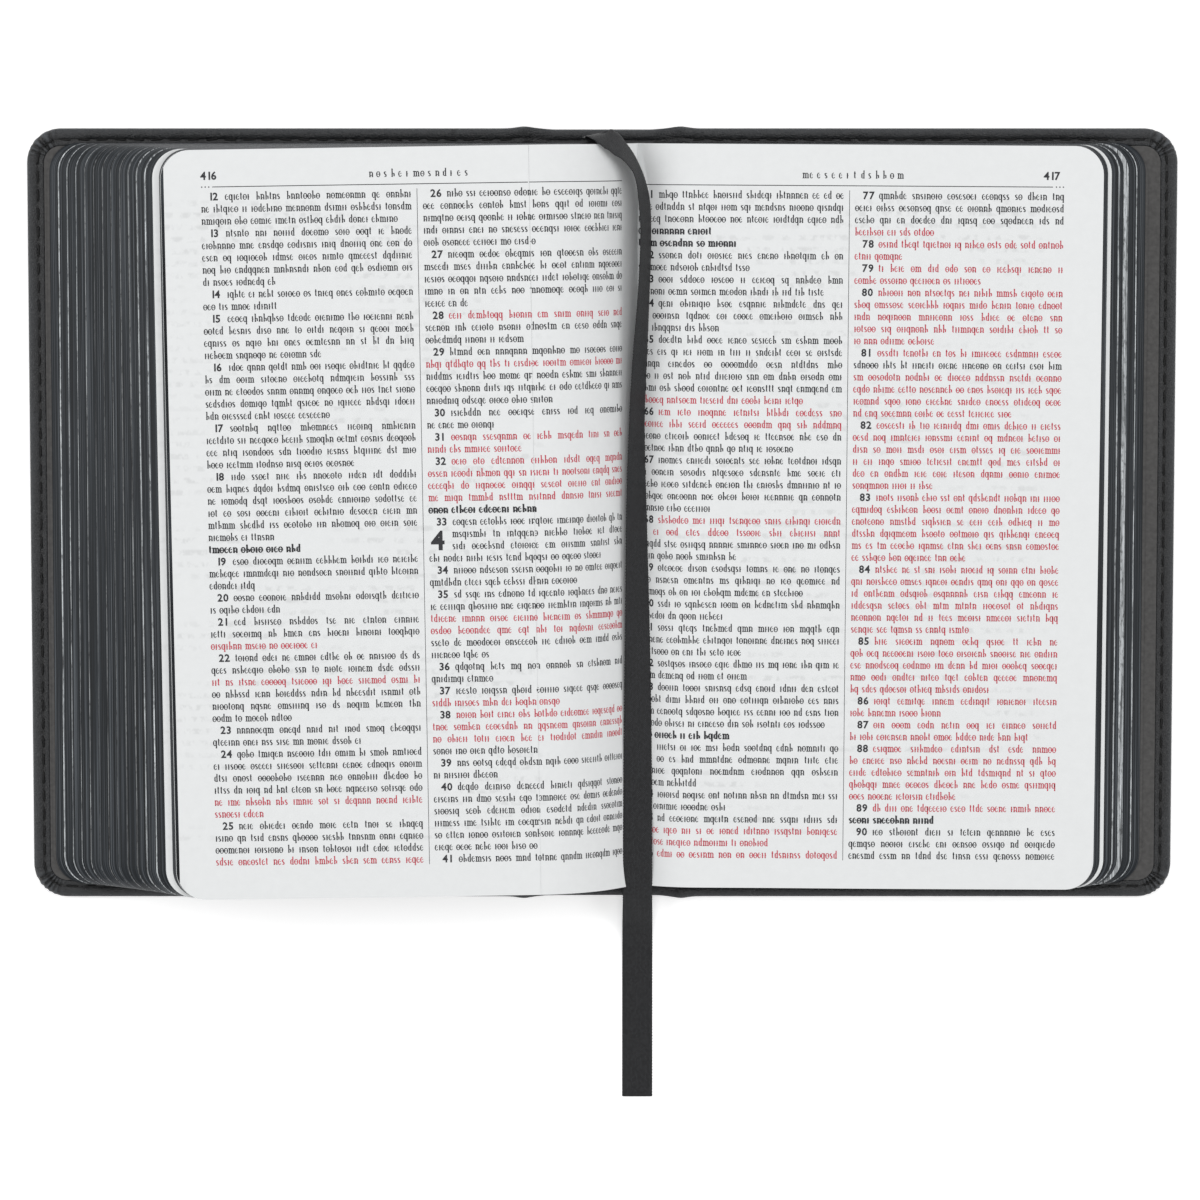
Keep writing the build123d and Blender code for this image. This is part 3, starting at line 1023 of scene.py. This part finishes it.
def thickness_share(x):
    """How thick the case is at a distance from its middle, as a share of a cover's thickness:
    thin at the hinge, thicker over the spine."""
    spine = SPINE_SHARE * (1 - smooth_step(x, HINGE - 2.5 * MM, HINGE - 0.6 * MM))
    cover = smooth_step(x, HINGE + 0.8 * MM, HINGE + 6 * MM)
    return np.maximum(HINGE_SHARE, np.maximum(spine, cover))


def edge_pucker(x):
    """How far the head and tail edges stand out: drawn in over the spine, bulged by the boards."""
    drawn_in = -0.3 * MM * (1 - smooth_step(x, HINGE - 4 * MM, HINGE + 2 * MM))
    bulge = 0.5 * MM * np.exp(-(((x - HINGE - 4.5 * MM) / (2.6 * MM)) ** 2))
    return drawn_in + bulge


def build_case(side, name, leather):
    """Leather of one cover and half the spine: the rim's section carried round the outline, with
    pleats at the corners, and flat sheets inside it. The points carry an attribute that the leather's
    colour follows: 0 on pleat crests and near the rim's edge, lightened there partly as wear and
    partly as painted highlight, 1 in pleat troughs, the stitch groove and the turn-in seam, darkened
    there as painted shade, and 0.5 elsewhere."""
    outline, inward, turn, corner = case_outline()
    d, z = RIM[:, 0], RIM[:, 1]
    plan = outline[:, None, :] + inward[:, None, :] * d[None, :, None]
    near = np.clip(1 - d / CORNER, 0, 1) ** 0.7
    x = plan[..., 0]
    height = z[None, :] * thickness_share(x)
    number = np.arange(len(d))
    top_side = (number >= TOP_FIRST) & (number <= TOP_LAST)
    pleat = np.abs(np.sin(turn * 14 + 1.3 * np.sin(turn * 5))) ** 0.7
    rub = 0.06 * MM * np.sin(outline[:, 0] * 900) * np.sin(outline[:, 1] * 700 + 1)
    ripple = (corner * (pleat - 0.75) * 1.5 * MM + rub)[:, None] * near[None, :]
    height = height + np.where(top_side[None, :], ripple, 0)
    ends = np.abs(np.cos(turn)) > 0.99
    outward = np.where(ends, edge_pucker(outline[:, 0]), 0) * np.sign(outline[:, 1])
    shift = outward[:, None] * near[None, :]
    bump = (corner * (pleat - 0.6) * 0.22 * MM)[:, None] * near[None, :]
    x = x - inward[:, None, 0] * bump
    y = plan[..., 1] + shift - inward[:, None, 1] * bump
    seam = np.exp(-(((x - TURN_IN_SEAM) / (0.35 * MM)) ** 2)) * (outline[:, 1:2] > 0) * (side < 0)
    height = height - np.where(top_side[None, :], seam * 0.3 * MM, 0)
    depth = 0.75 + 0.25 * np.sin(turn * 9)
    groove = depth[:, None] * np.exp(-(((d - SEAM_INSET) / (0.4 * MM)) ** 2))
    # Painted shade: pleat troughs, the stitch groove and the turn-in seam are marked for darkening.
    painted_crease_shade = (corner * (1 - pleat) ** 1.5)[:, None] * near + groove + 0.8 * seam
    # Partly wear, partly painted highlight: the rim's rounded edge and the pleat crests are marked
    # for lightening.
    rim_wear_and_sheen = 0.3 * np.exp(-(((d - 0.5 * MM) / (0.5 * MM)) ** 2))
    crest = (corner * pleat**6)[:, None] * near * 0.8 + rim_wear_and_sheen
    relief = 0.5 + 0.5 * np.clip(painted_crease_shade, 0, 1) - 0.5 * np.clip(crest, 0, 1)
    fold = np.where(top_side[None, :], relief, 0.5)
    rim = np.stack([side * x, y, height], -1)
    n, m = rim.shape[:2]
    points, faces = [rim.reshape(-1, 3)], [grid_faces(n, m)]
    total = n * m
    run, stop = np.linspace(0, FORE_EDGE - CORNER, SIDE_STEPS), HALF_COVER - CORNER
    down = np.linspace(stop, -stop, SIDE_STEPS)
    gx, gy = np.meshgrid(run, down, indexing="ij")
    for level, flip in ((0.0, False), (RIM[-1, 1], True)):
        gz = level * thickness_share(gx)
        points.append(np.stack([side * gx, gy, gz], -1).reshape(-1, 3))
        faces.append(grid_faces(SIDE_STEPS, SIDE_STEPS, total, flip))
        total += SIDE_STEPS**2
    case = new_piece(name, np.concatenate(points), np.concatenate(faces), [leather])
    # The leather's colour reads this attribute: painted shade, painted highlight and wear.
    worn = case.data.attributes.new("fold", "FLOAT", "POINT")
    flat = np.full(total - fold.size, 0.5)
    worn.data.foreach_set("value", np.concatenate([fold.ravel(), flat]).astype(np.float32))
    merge_points(case, 1e-5)
    return case


def seam_line(side):
    """Stitch places round one cover's rim, with the direction of the thread at each."""
    outline, inward, turn, _ = case_outline()
    line = outline + inward * SEAM_INSET
    keep = outline[:, 0] > HINGE + 6 * MM
    line, turn = line[keep], turn[keep]
    step = np.linalg.norm(np.diff(line, axis=0), axis=1)
    along = np.concatenate([[0], np.cumsum(step)])
    count = int(along[-1] / STITCH_PITCH)
    middle = (np.arange(count) + 0.5) * along[-1] / count
    x, y = np.interp(middle, along, line[:, 0]), np.interp(middle, along, line[:, 1])
    angle = np.interp(middle, along, turn)
    heading = np.stack([side * np.cos(angle), -np.sin(angle)], 1)
    return np.stack([side * x, y], 1), heading


def stitch_run(name, side, height, up, thread):
    """Thread beads along a cover's rim: each a tube that swells and dips into its holes."""
    centre, heading = seam_line(side)
    length, radius = STITCH_LENGTH, STITCH_RADIUS
    t = np.linspace(-1, 1, 9)
    around = np.linspace(0, 2 * np.pi, 7)[:-1]
    body = radius * np.clip(1 - np.abs(t) ** 6, 0, 1) ** 0.5
    arch = -radius * 1.1 * np.abs(t) ** 4
    across = np.stack([-heading[:, 1], heading[:, 0]], 1)
    wobble = rng.uniform(-0.12, 0.12, len(centre))
    lean = heading + across * wobble[:, None]
    x = (
        centre[:, None, None, :]
        + lean[:, None, None, :] * (t * length / 2)[None, :, None, None]
        + across[:, None, None, :] * (body[:, None] * np.cos(around)[None, :])[None, :, :, None]
    )
    z = height + up * (arch[:, None] + body[:, None] * np.sin(around)[None, :])
    z = np.broadcast_to(z[None], x.shape[:3])
    points = np.concatenate([x, z[..., None]], -1)
    k, n, m = points.shape[:3]
    ring = np.arange(k * n * m).reshape(k, n, m)
    nxt = np.roll(ring, -1, axis=2)
    quads = np.stack([ring[:, :-1], ring[:, 1:], nxt[:, 1:], nxt[:, :-1]], -1).reshape(-1, 4)
    piece = new_piece(name, points.reshape(-1, 3), quads, [thread])
    merge_points(piece, 1e-6)
    return piece


def build_cover(side, name, half, leather, thread):
    """Leather of one cover, with stitches inside and outside that are fixed to the cover's half."""
    case = build_case(side, f"{name}_case_leather", leather)
    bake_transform(case)
    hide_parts(f"{name}_leather", f"{name}_hinge_leather", "spine_leather")
    inside = stitch_run(f"{name}_rim_thread", side, COVER_TOP - 0.06 * MM, 1, thread)
    outside = stitch_run(f"{name}_outer_thread", side, 0.33 * MM, -1, thread)
    for piece in (inside, outside):
        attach(piece, half)
    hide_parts(f"{name}_stitching")


# ---------------------------------------------------------------- ribbon marker
RIBBON_WIDTH = 8.0 * MM
RIBBON_THICK = 0.3 * MM
RIBBON_RISE = 11.0 * MM  # length that stands up at the head before it goes over the edge
RIBBON_ROUTE = np.array([
    (0.2, 99.6, 2.6), (-1.1, 99.9, 8.5), (-1.5, 100.4, 13.6), (1.4, 99.4, 15.0), (6.2, 95.6, 12.7),
    (9.6, 90.2, 11.0), (11.2, 82.0, 10.8), (11.4, 72.0, 10.9), (10.8, 58.0, 10.7),
    (9.7, 41.0, 10.1), (8.9, 24.0, 9.6), (8.9, 2.0, 9.5), (9.2, -24.0, 9.5), (9.3, -50.0, 9.2),
    (9.3, -76.0, 9.2), (9.3, -95.0, 9.6), (9.3, -104.0, 6.4), (9.3, -111.0, 1.2),
    (9.3, -121.0, 0.25), (9.3, -138.0, 0.3), (9.3, -155.5, 0.25),
]) * MM
# How far the ribbon's left edge is tipped up, in degrees, by its place along the book
RIBBON_TIP = np.array([
    (-160, 0), (-112, 2), (-100, 14), (-76, 20), (-50, 27), (-24, 38), (2, 48), (24, 59),
    (41, 61), (58, 67), (74, 69), (84, 68), (88, 73), (92, 79), (96, 80), (98.5, 72), (99.4, 50),
    (100.0, 8), (100.4, -12),
], float)


def smooth_line(points):
    """The points that a NURBS line of order 3 passes through between these control points."""
    curve = bpy.data.curves.new("route", "CURVE")
    curve.dimensions, curve.resolution_u = "3D", 34
    spline = curve.splines.new("NURBS")
    spline.points.add(len(points) - 1)
    spline.points.foreach_set("co", np.column_stack([points, np.ones(len(points))]).ravel())
    spline.order_u, spline.use_endpoint_u = 3, True
    mesh = mesh_of_curve(curve)
    line = np.array([v.co for v in mesh.vertices])
    bpy.data.meshes.remove(mesh)
    return line


def even_steps(line, step):
    """The same line, with points evenly spaced."""
    along = np.concatenate([[0], np.cumsum(np.linalg.norm(np.diff(line, axis=0), axis=1))])
    count = int(along[-1] / step) + 1
    at = np.linspace(0, along[-1], count)
    return np.stack([np.interp(at, along, line[:, i]) for i in range(3)], 1), at


def build_ribbon(cloth):
    """A flat woven strip: a lens section 8 mm wide, tipped as it follows the gutter, with the
    small loops of its selvedge along both edges."""
    line, along = even_steps(smooth_line(RIBBON_ROUTE), 0.4 * MM)
    tangent = np.gradient(line, axis=0)
    tangent /= np.linalg.norm(tangent, axis=1, keepdims=True)
    across = np.array([1.0, 0, 0]) - tangent * tangent[:, :1]
    across /= np.linalg.norm(across, axis=1, keepdims=True)
    normal = np.cross(across, tangent)
    normal *= np.where(normal[:, 2:3] + normal[:, 1:2] < 0, -1, 1)
    tip = np.interp(line[:, 1] / MM, RIBBON_TIP[:, 0], RIBBON_TIP[:, 1])
    tip = np.radians(np.where(along < RIBBON_RISE, RIBBON_TIP[-1, 1], tip))[:, None]
    flat = across * np.cos(tip) - normal * np.sin(tip)
    face = across * np.sin(tip) + normal * np.cos(tip)
    t = np.linspace(-1, 1, 15)
    half = RIBBON_WIDTH / 2
    loops = 0.09 * MM * np.sin(along / (0.42 * MM) * np.pi)
    width = half + loops[:, None] * np.abs(t)[None, :] ** 12
    thick = RIBBON_THICK / 2 * (1 - 0.75 * np.abs(t) ** 6)
    middle = line[:, None] + flat[:, None] * (t * width)[..., None]
    rise = face[:, None] * thick[None, :, None]
    ring = np.concatenate([middle + rise, (middle - rise)[:, ::-1]], axis=1)
    n, m = ring.shape[:2]
    number = np.arange(n * m).reshape(n, m)
    nxt = np.roll(number, -1, axis=1)
    sides = np.stack([number[:-1], nxt[:-1], nxt[1:], number[1:]], -1).reshape(-1, 4)
    caps = []
    for row in (0, n - 1):
        upper, lower = number[row, :len(t)], number[row, len(t):][::-1]
        caps.append(np.stack([upper[:-1], upper[1:], lower[1:], lower[:-1]], 1))
    points = ring.reshape(-1, 3)
    points[:, 2] = np.maximum(points[:, 2], 0.03 * MM)
    piece = new_piece("ribbon_strip", points, np.concatenate([sides, *caps]), [cloth])
    map_sheet(piece, np.repeat(along, m), np.tile(np.concatenate([t, t[::-1]]) * half, n))
    merge_points(piece, 1e-7)
    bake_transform(piece)
    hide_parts("ribbon_marker")
    return piece


# ---------------------------------------------------------------- CAD pieces kept as they are
def finish_node(name, material):
    """Gives a CAD piece its material."""
    node = bpy.data.objects[name]
    if node.material_slots:
        for place in node.material_slots:
            place.material = material
    else:
        node.data.materials.append(material)


# ---------------------------------------------------------------- making
stand_camera()
build_ribbon(ribbon_finish())
light_studio()
lay_floor(floor_finish())

leather, thread = leather_finish(), thread_finish()
page = paper_finish("page_paper", (0.70, 0.712, 0.715), ghost=0.45)
edge = stained_edge_finish()
INK = ink_finish("ink", (0.018, 0.018, 0.022))
RED_INK = ink_finish("red_ink", (0.46, 0.05, 0.075))
DIGITS = digit_shapes()

build_cover(-1, "front", "front_half", leather, thread)
build_cover(1, "back", "back_half", leather, thread)
deckle = deckle_finish()
build_gatherings(LEFT, page, edge, deckle)
build_gatherings(RIGHT, page, edge, deckle)
build_turning_leaf(page, edge)
print_pages()

endpaper = plain_finish("endpaper", (0.05, 0.0485, 0.0475), 0.7, grain=900.0)
board = plain_finish("board", (0.05, 0.047, 0.044), 0.85)
for name in ("front", "back"):
    finish_node(f"{name}_pastedown", endpaper)
    finish_node(f"{name}_flyleaf", endpaper)
    finish_node(f"{name}_board", board)
finish_node("spine_inlay", board)
finish_node("spine_lining", plain_finish("lining", (0.008, 0.008, 0.009), 0.85, grain=1500.0))
finish_node("spine_glue", plain_finish("glue", (0.3, 0.28, 0.24), 0.5))
for name in ("head_band", "tail_band"):
    finish_node(name, plain_finish(name, (0.02, 0.02, 0.022), 0.6, grain=2500.0))
